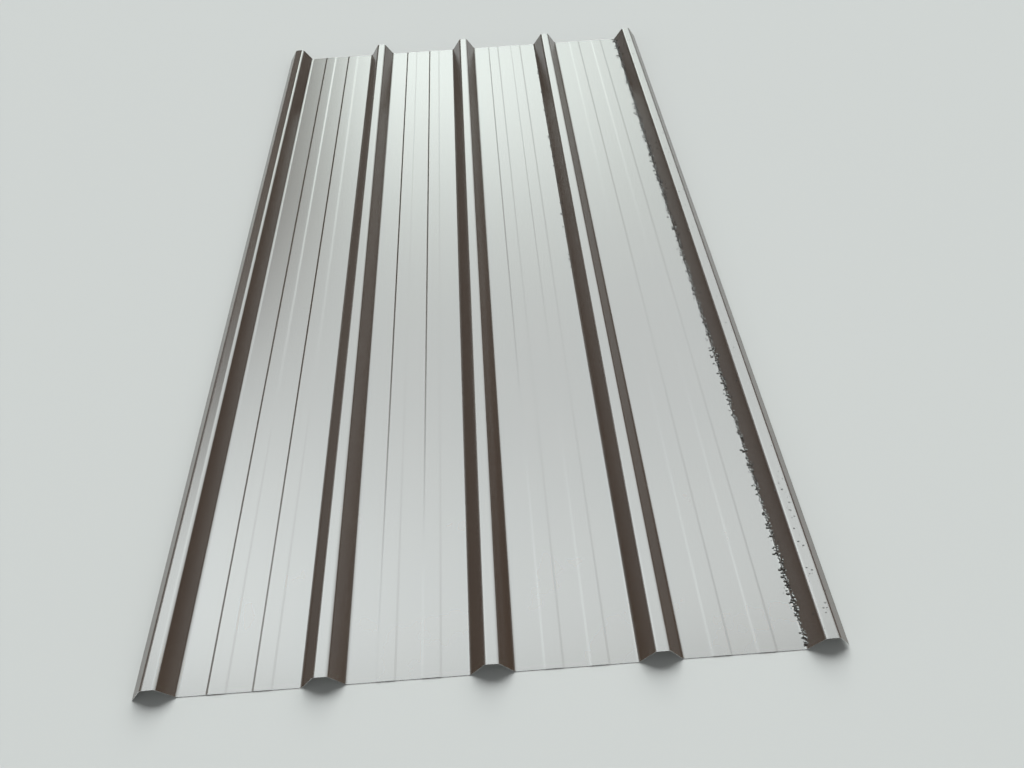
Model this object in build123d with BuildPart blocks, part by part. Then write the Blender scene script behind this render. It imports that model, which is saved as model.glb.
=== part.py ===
"""Box-profile steel roofing sheet: one coated strip, roll-formed into five ribs and four swaged pans."""
import os
from math import atan2, cos

from build123d import *

os.makedirs("parts", exist_ok=True)

# The strip. Lengths are in millimetres, +Y runs along the ribs, and the sheet lies on Z = 0.
sheet_length = 2000.0
thickness = 0.7
bend_radius = 7.0

# The ribs. Widths are between the sharp corners of the top face, before the bends round them off.
rib_count = 5
rib_pitch = 250.0
rib_depth = 32.0
crown_width = 21.0
rib_base_width = 65.0

# The swages: two shallow raised stiffeners in each pan, evenly spaced about its middle.
swage_count = 2
swage_pitch = 68.0
swage_width = 31.5
swage_slope_width = 3.5
swage_height = 0.7
swage_radius = 3.0

# The free edges. The one that goes under the next sheet reaches the floor, the one that laps over it doesn't.
underlap_lift = 0.0
overlap_lift = 5.0

# The underlap rib's crown leans out. Its outer corner is this much lower, so that the next rib seats on it.
underlap_drop = 1.5

# What follows from them
cover_width = (rib_count - 1) * rib_pitch
web_run = (rib_base_width - crown_width) / 2
web_rise = rib_depth - thickness
web_angle = atan2(web_rise, web_run)


def raised_bends(centre, base_width, top_width, height, inside_radius):
    """Corners of the top face over one raised form, from foot to foot, each with its radius there."""
    outside_radius = inside_radius + thickness
    top = thickness + height
    return [
        (centre - base_width / 2, thickness, inside_radius),
        (centre - top_width / 2, top, outside_radius),
        (centre + top_width / 2, top, outside_radius),
        (centre + base_width / 2, thickness, inside_radius),
    ]


def free_edge(side, lift):
    """The point on an outermost web where the strip ends, with its lower corner lifted off the floor."""
    height = lift + thickness * cos(web_angle)
    reach = crown_width / 2 + web_run * (rib_depth - height) / web_rise
    return (side * (cover_width / 2 + reach), height, 0.0)


# Every bend across the sheet, rib by rib and pan by pan, from the underlap edge to the overlap edge
bends = []
for rib in range(rib_count):
    rib_centre = rib * rib_pitch - cover_width / 2
    bends += raised_bends(rib_centre, rib_base_width, crown_width, web_rise, bend_radius)
    if rib == rib_count - 1:
        break
    for swage in range(swage_count):
        swage_centre = rib_centre + rib_pitch / 2 + (swage - (swage_count - 1) / 2) * swage_pitch
        swage_top_width = swage_width - 2 * swage_slope_width
        bends += raised_bends(swage_centre, swage_width, swage_top_width, swage_height, swage_radius)
bends[0] = free_edge(-1, underlap_lift)
bends[-1] = free_edge(1, overlap_lift)
crown_x, crown_z, crown_radius = bends[1]
bends[1] = (crown_x - web_run * underlap_drop / web_rise, crown_z - underlap_drop, crown_radius)
middle = (bends[0][0] + bends[-1][0]) / 2

with BuildPart() as roofing_sheet:
    with BuildSketch(Plane.XZ) as section:
        with BuildLine() as outline:
            top_face = FilletPolyline(
                *[(x - middle, z) for x, z, radius in bends],
                radius=[radius for x, z, radius in bends[1:-1]],
            )
            offset(top_face, amount=thickness, side=Side.RIGHT)
        make_face()
    extrude(amount=sheet_length / 2, both=True)

roofing_sheet.part.label = "roofing_sheet"
export_step(roofing_sheet.part, "parts/roofing_sheet.step")
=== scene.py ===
"""A box-profile steel roofing sheet, coated dark brown, lying face up with drops of rain on it."""
import random
from math import atan, cos, radians, tan

import bpy
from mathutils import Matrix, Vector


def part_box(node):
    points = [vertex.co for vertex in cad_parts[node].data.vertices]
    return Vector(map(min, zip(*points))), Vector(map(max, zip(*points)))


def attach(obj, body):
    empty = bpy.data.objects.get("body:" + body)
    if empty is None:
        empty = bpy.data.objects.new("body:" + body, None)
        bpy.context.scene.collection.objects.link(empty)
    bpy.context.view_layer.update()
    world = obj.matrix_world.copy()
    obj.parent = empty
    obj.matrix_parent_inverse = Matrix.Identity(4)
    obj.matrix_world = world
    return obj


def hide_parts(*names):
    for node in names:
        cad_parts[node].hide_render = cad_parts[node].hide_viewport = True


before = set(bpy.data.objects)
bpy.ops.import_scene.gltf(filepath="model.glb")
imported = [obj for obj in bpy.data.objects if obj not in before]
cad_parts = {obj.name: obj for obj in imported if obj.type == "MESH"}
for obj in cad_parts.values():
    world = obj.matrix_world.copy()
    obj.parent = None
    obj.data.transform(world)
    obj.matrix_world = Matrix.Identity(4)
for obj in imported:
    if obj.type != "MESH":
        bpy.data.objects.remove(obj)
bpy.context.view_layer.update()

# Roofing sheet.
# One strip of galvanised steel, 0.7 mm thick, coil-coated in dark brown polyester with a grey backing coat,
# roll-formed cold into five trapezoidal ribs with two shallow swages in each pan, and sheared to length.

MM = 0.001
GAUGE = 0.7 * MM
BEND_RADIUS = 7 * MM
RIB_COUNT = 5
RIB_PITCH = 250 * MM
RIB_DEPTH = 32 * MM
CROWN_WIDTH = 21 * MM
RIB_BASE_WIDTH = 65 * MM
SWAGE_COUNT = 2
SWAGE_PITCH = 68 * MM
SWAGE_WIDTH = 31.5 * MM
SWAGE_SLOPE_WIDTH = 3.5 * MM
SWAGE_HEIGHT = 0.7 * MM
SWAGE_RADIUS = 3 * MM
UNDERLAP_DROP = 1.5 * MM
OVERLAP_LIFT = 5 * MM

low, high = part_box("roofing_sheet")
sheet_length = high.y - low.y
web_rise = RIB_DEPTH - GAUGE
web_run = (RIB_BASE_WIDTH - CROWN_WIDTH) / 2
web_angle = atan(web_rise / web_run)


def edge_reach(lift):
    """How far from its rib's centre an outermost web ends, with its edge's lower corner at that lift."""
    return CROWN_WIDTH / 2 + web_run * (RIB_DEPTH - lift - GAUGE * cos(web_angle)) / web_rise


first_rib_x = low.x + edge_reach(0.0)
rib_centres = [first_rib_x + rib * RIB_PITCH for rib in range(RIB_COUNT)]


def raised_bends(centre, base_width, top_width, height, inside_radius):
    """Corners (x, z, radius) of the sheet's top face over one rib or swage, from foot to foot."""
    outside_radius = inside_radius + GAUGE
    return [
        (centre - base_width / 2, GAUGE, inside_radius),
        (centre - top_width / 2, GAUGE + height, outside_radius),
        (centre + top_width / 2, GAUGE + height, outside_radius),
        (centre + base_width / 2, GAUGE, inside_radius),
    ]


# Every bend across the sheet, rib by rib and pan by pan, from the underlap edge to the overlap edge
bends = []
for rib_x in rib_centres:
    bends += raised_bends(rib_x, RIB_BASE_WIDTH, CROWN_WIDTH, web_rise, BEND_RADIUS)
    if rib_x == rib_centres[-1]:
        break
    for swage in range(SWAGE_COUNT):
        swage_x = rib_x + RIB_PITCH / 2 + (swage - (SWAGE_COUNT - 1) / 2) * SWAGE_PITCH
        swage_top_width = SWAGE_WIDTH - 2 * SWAGE_SLOPE_WIDTH
        bends += raised_bends(swage_x, SWAGE_WIDTH, swage_top_width, SWAGE_HEIGHT, SWAGE_RADIUS)

# The outermost webs end in free edges, and the underlap crown leans out, so that the next rib seats on it.
bends[0] = (low.x, GAUGE * cos(web_angle), 0.0)
bends[-1] = (rib_centres[-1] + edge_reach(OVERLAP_LIFT), OVERLAP_LIFT + GAUGE * cos(web_angle), 0.0)
crown_x, crown_z, crown_radius = bends[1]
bends[1] = (crown_x - web_run * UNDERLAP_DROP / web_rise, crown_z - UNDERLAP_DROP, crown_radius)

# A guard point stands on each side of a bend, just past its end, and keeps its shading out of the flats.
GUARD_MARGIN = 0.4 * MM
guard_reach = (BEND_RADIUS + GAUGE) * tan(web_angle / 2) + GUARD_MARGIN


def strip_line():
    """The strip's corners and guard points, as a line mesh in the plane that a swept section is drawn in."""
    points = [bends[0]]
    for (x0, z0, r0), (x1, z1, r1) in zip(bends, bends[1:]):
        run = ((x1 - x0) ** 2 + (z1 - z0) ** 2) ** 0.5
        # On a short run the two guards stand a third of the way in from its ends.
        share = min(guard_reach / run, 1 / 3)
        points += [
            (x0 + (x1 - x0) * share, z0 + (z1 - z0) * share, 0.0),
            (x1 - (x1 - x0) * share, z1 - (z1 - z0) * share, 0.0),
            (x1, z1, r1),
        ]
    places = [(x, -z, 0) for x, z, r in points]
    links = [(i, i + 1) for i in range(len(points) - 1)]
    line = bpy.data.meshes.new("strip_line")
    line.from_pydata(places, links, [])
    radius = line.attributes.new("bend_radius", "FLOAT", "POINT")
    radius.data.foreach_set("value", [r for x, z, r in points])
    return line


def add(tree, kind, inputs=None, **settings):
    """A new node: its settings, then its inputs by name or number, each a value or the socket feeding it."""
    node = tree.nodes.new(kind)
    for name, value in settings.items():
        setattr(node, name, value)
    for key, value in (inputs or {}).items():
        if isinstance(value, bpy.types.NodeSocket):
            tree.links.new(value, node.inputs[key])
        else:
            node.inputs[key].default_value = value
    return node


def tree_with_inputs(name, sockets):
    """A Geometry Nodes tree with named inputs, their sockets, and their identifiers for the modifier."""
    tree = bpy.data.node_groups.new(name, "GeometryNodeTree")
    tree.interface.new_socket("Geometry", in_out="OUTPUT", socket_type="NodeSocketGeometry")
    ids = {}
    for label, kind in sockets.items():
        socket = tree.interface.new_socket(label, in_out="INPUT", socket_type="NodeSocket" + kind)
        ids[label] = socket.identifier
    return tree, tree.nodes.new("NodeGroupInput").outputs, ids


def made_mesh(name, start, tree, ids, values):
    """A finished plain-mesh object: the tree run on the starting mesh with those values for its inputs."""
    source = bpy.data.objects.new(name + "_source", start)
    bpy.context.scene.collection.objects.link(source)
    modifier = source.modifiers.new(name, "NODES")
    modifier.node_group = tree
    for label, value in values.items():
        modifier[ids[label]] = value
    graph = bpy.context.evaluated_depsgraph_get()
    mesh = bpy.data.meshes.new_from_object(source.evaluated_get(graph), depsgraph=graph)
    bpy.data.objects.remove(source)
    mesh.name = name
    piece = bpy.data.objects.new(name, mesh)
    bpy.context.scene.collection.objects.link(piece)
    return piece


def linear(hex_colour):
    """An sRGB hex colour as linear red, green, blue and full alpha."""
    parts = [int(hex_colour[i:i + 2], 16) / 255 for i in (1, 3, 5)]
    return tuple(p / 12.92 if p <= 0.04045 else ((p + 0.055) / 1.055) ** 2.4 for p in parts) + (1.0,)


def new_material(name):
    """A node material, its tree, and its Principled shader wired to the output."""
    material = bpy.data.materials.new(name)
    material.use_nodes = True
    tree = material.node_tree
    tree.nodes.clear()
    shader = add(tree, "ShaderNodeBsdfPrincipled")
    add(tree, "ShaderNodeOutputMaterial", {"Surface": shader.outputs["BSDF"]})
    return material, tree, shader


# Polyester topcoat: a pigmented dark brown film baked on at the mill, semi-gloss under a clear resin skin.
# The eye gets a dark body colour on faces turned away from the light, and a silver sheen on the flats, which
# mirror it. Its IOR is above the resin's own 1.5, matched to the strong sheen of the real sheet. The orange
# peel is drawn coarser than it is, so that it shows.
CLOUD_SIZE = 1000 / 9 * MM
PEEL_SIZE = 4 * MM
PEEL_HEIGHT = 0.1 * MM
topcoat, tree, shader = new_material("polyester_coated_steel")
place = add(tree, "ShaderNodeTexCoord").outputs["Object"]
clouds = add(tree, "ShaderNodeTexNoise", {"Vector": place, "Scale": 1 / CLOUD_SIZE, "Detail": 4.0})
brown = add(tree, "ShaderNodeMix", {
    "Factor": clouds.outputs["Fac"], "A": linear("#3D2D23"), "B": linear("#46362A"),
}, data_type="RGBA")
tree.links.new(brown.outputs["Result"], shader.inputs["Base Color"])
peel = add(tree, "ShaderNodeTexNoise", {"Vector": place, "Scale": 1 / PEEL_SIZE, "Detail": 2.0})
peel_bump = add(tree, "ShaderNodeBump", {
    "Height": peel.outputs["Fac"], "Strength": 0.05, "Distance": PEEL_HEIGHT,
})
tree.links.new(peel_bump.outputs["Normal"], shader.inputs["Normal"])
shader.inputs["Roughness"].default_value = 0.2
shader.inputs["IOR"].default_value = 1.9

# Epoxy backing coat: a thin light-grey film rolled on the underside. The eye gets an even, matt grey.
BACKING_BLOTCH = 25 * MM
backing, tree, shader = new_material("epoxy_backing_coat")
place = add(tree, "ShaderNodeTexCoord").outputs["Object"]
blotches = add(tree, "ShaderNodeTexNoise", {"Vector": place, "Scale": 1 / BACKING_BLOTCH, "Detail": 3.0})
grey = add(tree, "ShaderNodeMix", {
    "Factor": blotches.outputs["Fac"], "A": linear("#9FA19F"), "B": linear("#A9ABA8"),
}, data_type="RGBA")
tree.links.new(grey.outputs["Result"], shader.inputs["Base Color"])
shader.inputs["Roughness"].default_value = 0.6

# Sheared edge: bare steel between two zinc skins. The eye gets a bright line where the blade has torn it.
TEAR_SIZE = 1.5 * MM
cut_edge, tree, shader = new_material("sheared_zinc_edge")
place = add(tree, "ShaderNodeTexCoord").outputs["Object"]
torn = add(tree, "ShaderNodeTexNoise", {"Vector": place, "Scale": 1 / TEAR_SIZE, "Detail": 2.0})
steel = add(tree, "ShaderNodeMix", {
    "Factor": torn.outputs["Fac"], "A": linear("#C9CAC8"), "B": linear("#F4F4F2"),
}, data_type="RGBA")
tree.links.new(steel.outputs["Result"], shader.inputs["Base Color"])
shader.inputs["Metallic"].default_value = 1.0
shader.inputs["Roughness"].default_value = 0.4

# The rolling mill: rounds each corner of the line, sweeps it along the sheet, gives it the slight ripple of
# rolled flats and then its gauge. The ripple goes up from the pans and down from the crowns, so that the
# sheet stays within its depth.
RIPPLE_HEIGHT = 0.4 * MM
RIPPLE_SIZE = 1000 / 3 * MM
LENGTH_STEPS = 33
BEND_STEPS = 8
WELD_DISTANCE = 0.01 * MM
SHARP_ANGLE = radians(45)
mill, given, mill_ids = tree_with_inputs("roll_forming", {
    "Strip": "Geometry",
    "Sheet Length": "Float",
    "Length Steps": "Int",
    "Gauge": "Float",
    "Bend Steps": "Int",
    "Rib Depth": "Float",
    "Ripple Height": "Float",
    "Ripple Scale": "Float",
    "Topcoat": "Material",
    "Backing": "Material",
    "Cut Edge": "Material",
})
radius = add(mill, "GeometryNodeInputNamedAttribute", {"Name": "bend_radius"}, data_type="FLOAT")
line = add(mill, "GeometryNodeMeshToCurve", {"Mesh": given["Strip"]})
section = add(mill, "GeometryNodeFilletCurve", {
    "Curve": line.outputs["Curve"], "Count": given["Bend Steps"], "Radius": radius.outputs["Attribute"],
}, mode="POLY")
half = add(mill, "ShaderNodeMath", {0: given["Sheet Length"], 1: 0.5}, operation="MULTIPLY")
minus_half = add(mill, "ShaderNodeMath", {0: given["Sheet Length"], 1: -0.5}, operation="MULTIPLY")
start = add(mill, "ShaderNodeCombineXYZ", {"Y": minus_half.outputs[0]})
end = add(mill, "ShaderNodeCombineXYZ", {"Y": half.outputs[0]})
path = add(mill, "GeometryNodeCurvePrimitiveLine", {"Start": start.outputs[0], "End": end.outputs[0]})
stepped = add(mill, "GeometryNodeResampleCurve", {
    "Curve": path.outputs["Curve"], "Count": given["Length Steps"],
})
upright = add(mill, "GeometryNodeSetCurveNormal", {"Curve": stepped.outputs["Curve"]}, mode="Z_UP")
swept = add(mill, "GeometryNodeCurveToMesh", {
    "Curve": upright.outputs["Curve"], "Profile Curve": section.outputs["Curve"],
})
spot = add(mill, "GeometryNodeInputPosition")
ripple = add(mill, "ShaderNodeTexNoise", {
    "Vector": spot.outputs[0], "Scale": given["Ripple Scale"], "Detail": 0.0,
})
spot_z = add(mill, "ShaderNodeSeparateXYZ", {"Vector": spot.outputs[0]}).outputs["Z"]
inward = add(mill, "ShaderNodeMapRange", {
    "Value": spot_z, "From Max": given["Rib Depth"], "To Min": 1.0, "To Max": -1.0,
})
swell = add(mill, "ShaderNodeMath", {
    0: ripple.outputs["Fac"], 1: given["Ripple Height"],
}, operation="MULTIPLY")
rise = add(mill, "ShaderNodeMath", {0: swell.outputs[0], 1: inward.outputs["Result"]}, operation="MULTIPLY")
lift = add(mill, "ShaderNodeCombineXYZ", {"Z": rise.outputs[0]})
top_face = add(mill, "GeometryNodeSetPosition", {
    "Geometry": swept.outputs["Mesh"], "Offset": lift.outputs[0],
})
down = add(mill, "ShaderNodeMath", {0: given["Gauge"], 1: -1.0}, operation="MULTIPLY")
thickened = add(mill, "GeometryNodeExtrudeMesh", {
    "Mesh": top_face.outputs["Geometry"], "Offset Scale": down.outputs[0], "Individual": False,
})
under = add(mill, "GeometryNodeStoreNamedAttribute", {
    "Geometry": thickened.outputs["Mesh"], "Name": "is_under", "Value": thickened.outputs["Top"],
}, data_type="BOOLEAN", domain="FACE")
edged = add(mill, "GeometryNodeStoreNamedAttribute", {
    "Geometry": under.outputs["Geometry"], "Name": "is_edge", "Value": thickened.outputs["Side"],
}, data_type="BOOLEAN", domain="FACE")
outward = add(mill, "GeometryNodeFlipFaces", {"Mesh": edged.outputs["Geometry"]})
joined = add(mill, "GeometryNodeJoinGeometry")
mill.links.new(outward.outputs["Mesh"], joined.inputs[0])
mill.links.new(top_face.outputs["Geometry"], joined.inputs[0])
closed = add(mill, "GeometryNodeMergeByDistance", {
    "Geometry": joined.outputs["Geometry"], "Distance": WELD_DISTANCE,
})
fold = add(mill, "GeometryNodeInputMeshEdgeAngle")
sharp = add(mill, "FunctionNodeCompare", {
    "A": fold.outputs["Unsigned Angle"], "B": SHARP_ANGLE,
}, data_type="FLOAT", operation="GREATER_THAN")
smooth = add(mill, "GeometryNodeSetShadeSmooth", {
    "Geometry": closed.outputs["Geometry"], "Selection": sharp.outputs["Result"], "Shade Smooth": False,
}, domain="EDGE")
is_under = add(mill, "GeometryNodeInputNamedAttribute", {"Name": "is_under"}, data_type="BOOLEAN")
is_edge = add(mill, "GeometryNodeInputNamedAttribute", {"Name": "is_edge"}, data_type="BOOLEAN")
real = add(mill, "GeometryNodeRealizeInstances", {"Geometry": smooth.outputs["Geometry"]})
coated = add(mill, "GeometryNodeSetMaterial", {
    "Geometry": real.outputs["Geometry"], "Material": given["Topcoat"],
})
backed = add(mill, "GeometryNodeSetMaterial", {
    "Geometry": coated.outputs["Geometry"], "Selection": is_under.outputs["Attribute"],
    "Material": given["Backing"],
})
sheared = add(mill, "GeometryNodeSetMaterial", {
    "Geometry": backed.outputs["Geometry"], "Selection": is_edge.outputs["Attribute"],
    "Material": given["Cut Edge"],
})
add(mill, "NodeGroupOutput", {"Geometry": sheared.outputs["Geometry"]})

sheet = made_mesh("roofing_sheet_coated", strip_line(), mill, mill_ids, {
    "Sheet Length": sheet_length,
    "Length Steps": LENGTH_STEPS,
    "Gauge": GAUGE,
    "Bend Steps": BEND_STEPS,
    "Rib Depth": RIB_DEPTH,
    "Ripple Height": RIPPLE_HEIGHT,
    "Ripple Scale": 1 / RIPPLE_SIZE,
    "Topcoat": topcoat,
    "Backing": backing,
    "Cut Edge": cut_edge,
})
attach(sheet, "root")
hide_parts("roofing_sheet")

# Rain beads.
# Rain water that stands on the glossy topcoat in low domes, held up by its own skin and loose on the sheet.
# Most have gathered along the last rib's foot, with a few on its web and crown and at the fourth's foot.

# The smallest and the largest radius. Then, as shares of it: a drop's height low on the sheet and on a crown,
# its width on a crown, and its length down a slope. Levelling turns its top level, and at 0 the top stays
# square to the face.
BEAD_SMALL = 0.7 * MM
BEAD_LARGE = 2.6 * MM
BEAD_HEIGHT_SHARE = 0.6
CROWN_BEAD_HEIGHT_SHARE = 0.16
CROWN_BEAD_WIDTH_SHARE = 0.6
BEAD_DOWN_SLOPE = 1.5
BEAD_LEVELLING = 1.5
BEAD_SINK = 0.05 * MM
FALL_HEIGHT = 2 * RIB_DEPTH
last_foot = rib_centres[-1] - RIB_BASE_WIDTH / 2
fourth_foot = rib_centres[-2] - RIB_BASE_WIDTH / 2
near_end = 2 * BEAD_LARGE - sheet_length / 2

# How many drops, where they gather across the sheet, how far they stray, and where they start and end on it
SHOWERS = [
    (720, last_foot + 1 * MM, 2 * MM, near_end, -near_end),
    (170, last_foot - 2 * MM, 3 * MM, near_end, -near_end),
    (200, last_foot, 3 * MM, 0.0, -near_end),
    (50, last_foot + 14 * MM, 5 * MM, near_end, -near_end),
    (50, rib_centres[-1], 5 * MM, near_end, 0.7 * near_end),
    (40, rib_centres[-1], 5 * MM, 0.7 * near_end, -near_end),
    (80, fourth_foot, 2 * MM, 0.1 * near_end, -near_end),
]


def fallen(name, showers, seed):
    """Points high above the sheet, one for each drop of the showers."""
    dice = random.Random(seed)
    points = bpy.data.meshes.new(name)
    points.from_pydata([
        (dice.gauss(centre, stray), dice.uniform(start, end), FALL_HEIGHT)
        for count, centre, stray, start, end in showers for drop in range(count)
    ], [], [])
    return points


# Rain water on the brown coat: clear in life, and drawn as the coat that shows through it, with painted shade
# that makes it darker than the dry coat, because clear domes hardly show on this gloss. For the same reason
# the
# IOR is above water's 1.33. The eye gets small dark flecks, sharpest against the flats, which mirror the
# light.
SKIN_WAVE = 3 * MM
SKIN_WAVE_HEIGHT = 0.1 * MM
water, tree, shader = new_material("rain_water_painted_dark")
place = add(tree, "ShaderNodeTexCoord").outputs["Object"]
wave = add(tree, "ShaderNodeTexNoise", {"Vector": place, "Scale": 1 / SKIN_WAVE, "Detail": 1.0})
wave_bump = add(tree, "ShaderNodeBump", {
    "Height": wave.outputs["Fac"], "Strength": 0.1, "Distance": SKIN_WAVE_HEIGHT,
})
tree.links.new(wave_bump.outputs["Normal"], shader.inputs["Normal"])
# Painted shade: the brown under the drops is darker than the dry coat's.
shader.inputs["Base Color"].default_value = linear("#2C221B")
shader.inputs["IOR"].default_value = 1.6
shader.inputs["Roughness"].default_value = 0.03

# The fall of rain: each point drops straight down on the sheet, and a low dome stands where it lands. Most
# are small. On a slope a dome's top lies between square to the face and level, as held water does.
SMALL_BIAS = 2.0
BEAD_SEGMENTS = 8
BEAD_RINGS = 6
JUST_OVER_EQUATOR = 0.01
RAY_START = 1.0
RAY_LENGTH = 2.0
rain, given, rain_ids = tree_with_inputs("rain_fall", {
    "Drops": "Geometry",
    "Sheet": "Object",
    "Smallest": "Float",
    "Largest": "Float",
    "Height Share": "Float",
    "Crown Height Share": "Float",
    "Crown Width Share": "Float",
    "Down Slope": "Float",
    "Levelling": "Float",
    "Sink": "Float",
    "Rib Depth": "Float",
    "Seed": "Int",
    "Water": "Material",
})
coat = add(rain, "GeometryNodeObjectInfo", {"Object": given["Sheet"]})
fall = add(rain, "GeometryNodeRaycast", {
    "Target Geometry": coat.outputs["Geometry"], "Ray Direction": (0.0, 0.0, -1.0), "Ray Length": RAY_LENGTH,
})
upward = add(rain, "ShaderNodeCombineXYZ", {"Z": given["Levelling"]})
stands_up = add(rain, "ShaderNodeVectorMath", {
    0: fall.outputs["Hit Normal"], 1: upward.outputs[0],
}, operation="ADD")
turn = add(rain, "FunctionNodeAlignRotationToVector", {"Vector": stands_up.outputs[0]}, axis="Z")
missed = add(rain, "FunctionNodeBooleanMath", {0: fall.outputs["Is Hit"]}, operation="NOT")
caught = add(rain, "GeometryNodeDeleteGeometry", {
    "Geometry": given["Drops"], "Selection": missed.outputs[0],
}, domain="POINT")
merged = add(rain, "GeometryNodeMergeByDistance", {
    "Geometry": caught.outputs["Geometry"], "Distance": given["Smallest"],
})
landed = add(rain, "GeometryNodeSetPosition", {
    "Geometry": merged.outputs["Geometry"], "Position": fall.outputs["Hit Position"],
})
ball = add(rain, "GeometryNodeMeshUVSphere", {
    "Segments": BEAD_SEGMENTS, "Rings": BEAD_RINGS, "Radius": 1.0,
})
ball_spot = add(rain, "GeometryNodeInputPosition")
ball_z = add(rain, "ShaderNodeSeparateXYZ", {"Vector": ball_spot.outputs[0]}).outputs["Z"]
lower = add(rain, "FunctionNodeCompare", {
    "A": ball_z, "B": JUST_OVER_EQUATOR,
}, data_type="FLOAT", operation="LESS_THAN")
dome = add(rain, "GeometryNodeStoreNamedAttribute", {
    "Geometry": ball.outputs["Mesh"], "Name": "is_foot", "Value": lower.outputs["Result"],
}, data_type="BOOLEAN", domain="POINT")
drawn = add(rain, "FunctionNodeRandomValue", {"Seed": given["Seed"]}, data_type="FLOAT")
mostly_small = add(rain, "ShaderNodeMath", {0: drawn.outputs["Value"], 1: SMALL_BIAS}, operation="POWER")
size = add(rain, "ShaderNodeMapRange", {
    "Value": mostly_small.outputs[0], "To Min": given["Smallest"], "To Max": given["Largest"],
}).outputs["Result"]
stands_at = add(rain, "GeometryNodeInputPosition")
stands_z = add(rain, "ShaderNodeSeparateXYZ", {"Vector": stands_at.outputs[0]}).outputs["Z"]
height_share = add(rain, "ShaderNodeMapRange", {
    "Value": stands_z, "From Max": given["Rib Depth"],
    "To Min": given["Height Share"], "To Max": given["Crown Height Share"],
})
tall = add(rain, "ShaderNodeMath", {0: size, 1: height_share.outputs["Result"]}, operation="MULTIPLY")
width_share = add(rain, "ShaderNodeMapRange", {
    "Value": stands_z, "From Max": given["Rib Depth"], "To Min": 1.0, "To Max": given["Crown Width Share"],
})
wide = add(rain, "ShaderNodeMath", {0: size, 1: width_share.outputs["Result"]}, operation="MULTIPLY")
long = add(rain, "ShaderNodeMath", {0: wide.outputs[0], 1: given["Down Slope"]}, operation="MULTIPLY")
bead_size = add(rain, "ShaderNodeCombineXYZ", {
    "X": long.outputs[0], "Y": wide.outputs[0], "Z": tall.outputs[0],
})
placed = add(rain, "GeometryNodeInstanceOnPoints", {
    "Points": landed.outputs["Geometry"], "Instance": dome.outputs["Geometry"],
    "Rotation": turn.outputs["Rotation"], "Scale": bead_size.outputs[0],
})
real = add(rain, "GeometryNodeRealizeInstances", {"Geometry": placed.outputs["Instances"]})

# The foot of each dome follows the sheet under it, a hair inside the coat and never below the floor, and no
# dome stands above the crowns.
dome_spot = add(rain, "GeometryNodeInputPosition")
dome_parts = add(rain, "ShaderNodeSeparateXYZ", {"Vector": dome_spot.outputs[0]})
above = add(rain, "ShaderNodeCombineXYZ", {
    "X": dome_parts.outputs["X"], "Y": dome_parts.outputs["Y"], "Z": RAY_START,
})
face = add(rain, "GeometryNodeRaycast", {
    "Target Geometry": coat.outputs["Geometry"], "Source Position": above.outputs[0],
    "Ray Direction": (0.0, 0.0, -1.0), "Ray Length": RAY_LENGTH,
})
face_z = add(rain, "ShaderNodeSeparateXYZ", {"Vector": face.outputs["Hit Position"]}).outputs["Z"]
sunk = add(rain, "ShaderNodeMath", {0: face_z, 1: given["Sink"]}, operation="SUBTRACT")
foot = add(rain, "ShaderNodeMath", {0: sunk.outputs[0], 1: 0.0}, operation="MAXIMUM")
top_z = add(rain, "ShaderNodeClamp", {
    "Value": dome_parts.outputs["Z"], "Min": foot.outputs[0], "Max": given["Rib Depth"],
})
is_foot = add(rain, "GeometryNodeInputNamedAttribute", {"Name": "is_foot"}, data_type="BOOLEAN")
dome_z = add(rain, "GeometryNodeSwitch", {
    "Switch": is_foot.outputs["Attribute"], "False": top_z.outputs[0], "True": foot.outputs[0],
}, input_type="FLOAT")
seat = add(rain, "ShaderNodeCombineXYZ", {
    "X": dome_parts.outputs["X"], "Y": dome_parts.outputs["Y"], "Z": dome_z.outputs[0],
})
settled = add(rain, "GeometryNodeSetPosition", {
    "Geometry": real.outputs["Geometry"], "Position": seat.outputs[0],
})
rounded = add(rain, "GeometryNodeSetShadeSmooth", {
    "Geometry": settled.outputs["Geometry"], "Shade Smooth": True,
})
wet = add(rain, "GeometryNodeSetMaterial", {
    "Geometry": rounded.outputs["Geometry"], "Material": given["Water"],
})
add(rain, "NodeGroupOutput", {"Geometry": wet.outputs["Geometry"]})

beads = made_mesh("rain_beads", fallen("bead_drops", SHOWERS, seed=5), rain, rain_ids, {
    "Sheet": sheet,
    "Smallest": BEAD_SMALL,
    "Largest": BEAD_LARGE,
    "Height Share": BEAD_HEIGHT_SHARE,
    "Crown Height Share": CROWN_BEAD_HEIGHT_SHARE,
    "Crown Width Share": CROWN_BEAD_WIDTH_SHARE,
    "Down Slope": BEAD_DOWN_SLOPE,
    "Levelling": BEAD_LEVELLING,
    "Sink": BEAD_SINK,
    "Rib Depth": RIB_DEPTH,
    "Seed": 3,
    "Water": water,
})
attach(beads, "root")

# Rain pools.
# Rain water that has run down the last web and stands in its foot, loose on the sheet. The tops are nearly
# level and mirror the light as brightly as the flats do, which frays the foot of the dark web.

POOL_SMALL = 1.0 * MM
POOL_LARGE = 2.4 * MM
POOL_HEIGHT_SHARE = 0.18
POOL_DOWN_SLOPE = 1.3
POOL_LEVELLING = 6.0
POOLS = [
    (500, last_foot + 1.8 * MM, 1.2 * MM, near_end, -near_end),
    (200, last_foot + 1.8 * MM, 1.2 * MM, near_end, 0.0),
]
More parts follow.
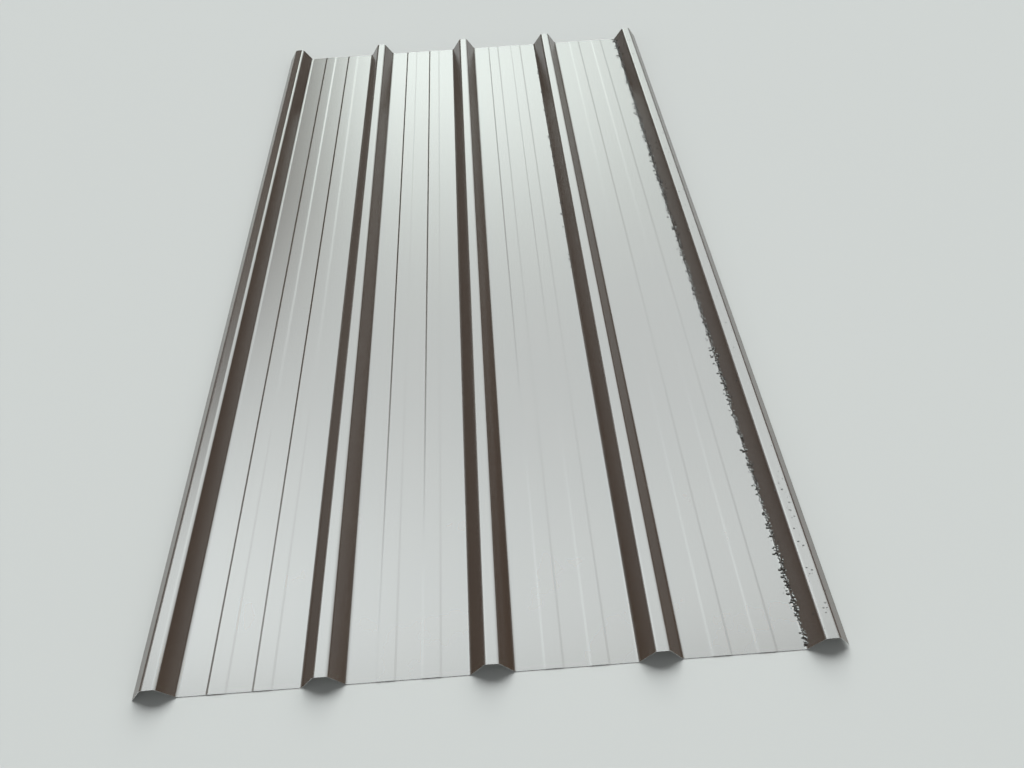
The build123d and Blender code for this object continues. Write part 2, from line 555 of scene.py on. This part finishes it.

# Rain water with a level top: drawn in a brown darker than the dry coat, as the beads are. Seen at a slant,
# it
# light as the dry coat does, which takes a higher IOR than the beads have.
TINT_CHANGE = 5 * MM
level_water, tree, shader = new_material("rain_water_level")
place = add(tree, "ShaderNodeTexCoord").outputs["Object"]
depths = add(tree, "ShaderNodeTexNoise", {"Vector": place, "Scale": 1 / TINT_CHANGE, "Detail": 1.0})
darkened_brown = add(tree, "ShaderNodeMix", {
    "Factor": depths.outputs["Fac"], "A": linear("#2C221B"), "B": linear("#3A2D24"),
}, data_type="RGBA")
tree.links.new(darkened_brown.outputs["Result"], shader.inputs["Base Color"])
shader.inputs["IOR"].default_value = 2.0
shader.inputs["Roughness"].default_value = 0.1

pools = made_mesh("rain_pools", fallen("pool_drops", POOLS, seed=6), rain, rain_ids, {
    "Sheet": sheet,
    "Smallest": POOL_SMALL,
    "Largest": POOL_LARGE,
    "Height Share": POOL_HEIGHT_SHARE,
    "Crown Height Share": POOL_HEIGHT_SHARE,
    "Crown Width Share": 1.0,
    "Down Slope": POOL_DOWN_SLOPE,
    "Levelling": POOL_LEVELLING,
    "Sink": BEAD_SINK,
    "Rib Depth": RIB_DEPTH,
    "Seed": 4,
    "Water": level_water,
})
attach(pools, "root")

# Floor.
# A plain pale studio floor, level and wide enough to reach out of every view. It lies a hair below the pans,
# so that no two faces fall together.

FLOOR_REACH = 30.0
FLOOR_GAP = 0.2 * MM
floor_mesh = bpy.data.meshes.new("floor")
floor_mesh.from_pydata([
    (-FLOOR_REACH, -FLOOR_REACH, 0),
    (FLOOR_REACH, -FLOOR_REACH, 0),
    (FLOOR_REACH, FLOOR_REACH, 0),
    (-FLOOR_REACH, FLOOR_REACH, 0),
], [], [(0, 1, 2, 3)])
floor = bpy.data.objects.new("floor", floor_mesh)
floor.location.z = -FLOOR_GAP
bpy.context.scene.collection.objects.link(floor)
pale, tree, shader = new_material("pale_studio_floor")
shader.inputs["Base Color"].default_value = linear("#BFBCBA")
shader.inputs["Roughness"].default_value = 0.9
shader.inputs["Specular IOR Level"].default_value = 0.2
floor_mesh.materials.append(pale)

# Studio light.
# One wide softbox hangs high beyond the far end, where the flats of the sheet mirror it, in a dim grey room
# with a low glow round its walls. All of it is drawn in the world, by direction.

# The level of each light, where 1 is white, and the tints
NEAR_LEVEL = 6.4
MIDDLE_LEVEL = 4.4
LEFT_GLOW = 1.2
FAR_LEFT_GLOW = 0.3 * LEFT_GLOW
FRONT_FILL = 0.18
ROOM_LEVEL = 0.08
SIDE_GLOW = 0.8
NEAR_TINT = (0.92, 1.0, 1.005, 1.0)
FAR_TINT = (0.905, 1.0, 0.965, 1.0)

# What the softbox gains at its far end and on its left near the camera, and what is left of it on its right,
# near and far
FAR_GAIN = 1.36
NEAR_LEAN = 0.25
RIGHT_REST = (0.9, 0.42)

# Where each change starts and ends along the sheet, as a sine: 0 is square to the ribs, 1 is along them
NEAR_EDGE = (0.24, 0.40)
FAR_EDGE = (0.914, 0.956)
NEAR_TO_MIDDLE = (0.42, 0.75)
MIDDLE_TO_FAR = (0.78, 0.91)
LEAN_FADE = (0.46, 0.75)
LEFT_EDGE_SHIFT = (0.46, 0.86)
RIGHT_FALL_SHIFT = (0.70, 0.90)
RIGHT_EDGE_SHIFT = (0.46, 0.90)
LEFT_GLOW_FADE = (0.46, 0.90)
ROOM_FADE = (-0.1, 0.34)
SIDE_GLOW_FADE = (0.05, 0.30)
TINT_SHIFT = (0.70, 0.89)

# Where each edge starts and ends across the sheet, in degrees from straight up. Some shift from near to far.
LEFT_EDGE_NEAR = (-44.0, -31.0)
LEFT_EDGE_FAR = (-27.0, -14.0)
RIGHT_FALL_NEAR = (15.0, 50.0)
RIGHT_FALL_FAR = (-5.0, 40.0)
RIGHT_EDGE_NEAR = (40.0, 72.0)
RIGHT_EDGE_FAR = (48.0, 68.0)
LEAN_SPAN = (-40.0, 40.0)
LEFT_GLOW_LOW = (-74.0, -58.0)
LEFT_GLOW_HIGH = (-50.0, -38.0)

# Where the low glow ends upwards, as a sine: 0 is level, 1 straight up
SIDE_GLOW_TOP = (0.35, 0.60)

SOFT = "SMOOTHSTEP"
EVEN = "LINEAR"
world = bpy.data.worlds.new("studio")
bpy.context.scene.world = world
world.use_nodes = True
sky = world.node_tree
sky.nodes.clear()
direction = add(sky, "ShaderNodeTexCoord").outputs["Generated"]
x, y, z = add(sky, "ShaderNodeSeparateXYZ", {"Vector": direction}).outputs
bearing = add(sky, "ShaderNodeMath", {0: x, 1: z}, operation="ARCTAN2")
across = add(sky, "ShaderNodeMath", {0: bearing.outputs[0]}, operation="DEGREES").outputs[0]


def graded(*changes):
    """A level that changes with direction. Each change goes from one level to another, and they multiply."""
    result = 1.0
    for value, (start, end), (before, after), kind in changes:
        change = add(sky, "ShaderNodeMapRange", {
            "Value": value, "From Min": start, "From Max": end, "To Min": before, "To Max": after,
        }, interpolation_type=kind).outputs["Result"]
        result = add(sky, "ShaderNodeMath", {0: result, 1: change}, operation="MULTIPLY").outputs[0]
    return result


def shifting_edge(shift, near, far, kind):
    """The start and end of an edge across the sheet, as they shift from near to far along it."""
    return [graded((y, shift, (near_angle, far_angle), kind)) for near_angle, far_angle in zip(near, far)]


# The softbox fades out at its four edges and dims towards the right. Near the camera its left is brighter.
left_edge = shifting_edge(LEFT_EDGE_SHIFT, LEFT_EDGE_NEAR, LEFT_EDGE_FAR, SOFT)
right_fall = shifting_edge(RIGHT_FALL_SHIFT, RIGHT_FALL_NEAR, RIGHT_FALL_FAR, EVEN)
right_edge = shifting_edge(RIGHT_EDGE_SHIFT, RIGHT_EDGE_NEAR, RIGHT_EDGE_FAR, EVEN)
right_rest = graded((y, RIGHT_FALL_SHIFT, RIGHT_REST, EVEN))
left_gain = graded((y, LEAN_FADE, (1 + NEAR_LEAN, 1.0), EVEN))
right_gain = graded((y, LEAN_FADE, (1 - NEAR_LEAN, 1.0), EVEN))
softbox = graded(
    (y, NEAR_TO_MIDDLE, (NEAR_LEVEL, MIDDLE_LEVEL), SOFT),
    (y, MIDDLE_TO_FAR, (1.0, FAR_GAIN), SOFT),
    (y, NEAR_EDGE, (0.0, 1.0), SOFT),
    (y, FAR_EDGE, (1.0, 0.0), SOFT),
    (across, left_edge, (0.0, 1.0), SOFT),
    (across, right_fall, (1.0, right_rest), SOFT),
    (across, right_edge, (1.0, 0.0), SOFT),
    (across, LEAN_SPAN, (left_gain, right_gain), EVEN),
)

# A fainter light low on the left, which the bends that face left mirror
left_low = graded(
    (y, LEFT_GLOW_FADE, (LEFT_GLOW, FAR_LEFT_GLOW), SOFT),
    (across, LEFT_GLOW_LOW, (0.0, 1.0), SOFT),
    (across, LEFT_GLOW_HIGH, (1.0, 0.0), SOFT),
    (y, NEAR_EDGE, (0.0, 1.0), SOFT),
)

# The room, a little lighter on the camera's side, and the low glow at its sides and behind the camera
room = graded((y, ROOM_FADE, (FRONT_FILL, ROOM_LEVEL), SOFT))
low_round = graded(
    (y, SIDE_GLOW_FADE, (SIDE_GLOW, 0.0), SOFT),
    (z, SIDE_GLOW_TOP, (1.0, 0.0), SOFT),
)
glow = softbox
for part in (left_low, room, low_round):
    glow = add(sky, "ShaderNodeMath", {0: glow, 1: part}, operation="ADD").outputs[0]
tint = add(sky, "ShaderNodeMix", {
    "Factor": graded((y, TINT_SHIFT, (0.0, 1.0), SOFT)), "A": NEAR_TINT, "B": FAR_TINT,
}, data_type="RGBA")
light = add(sky, "ShaderNodeBackground", {"Color": tint.outputs["Result"], "Strength": glow})

# The pale backdrop is for the eye alone: the gloss of the sheet mirrors the softbox and the room instead.
seen = add(sky, "ShaderNodeLightPath").outputs["Is Camera Ray"]
backdrop = add(sky, "ShaderNodeBackground", {"Color": linear("#CFD5D3"), "Strength": 1.0})
surround = add(sky, "ShaderNodeMixShader", {
    0: seen, 1: light.outputs["Background"], 2: backdrop.outputs["Background"],
})
add(sky, "ShaderNodeOutputWorld", {"Surface": surround.outputs["Shader"]})

# Camera.
# Held up at the near end and looking down along the ribs, with the view of a phone's main lens. Its focal
# length is given in the pixels of a picture 1024 wide.

SENSOR_WIDTH = 36.0
PICTURE_WIDTH = 1024
FOCAL_PIXELS = 838.2
camera_data = bpy.data.cameras.new("camera")
camera_data.sensor_width = SENSOR_WIDTH
camera_data.lens = SENSOR_WIDTH * FOCAL_PIXELS / PICTURE_WIDTH
camera = bpy.data.objects.new("camera", camera_data)
camera.location = (0.0463, -1.5287, 1.1995)
camera.rotation_euler = (radians(42.65), radians(2.312), radians(-3.478))
bpy.context.scene.collection.objects.link(camera)
bpy.context.scene.camera = camera
bpy.context.scene.view_settings.view_transform = "Standard"
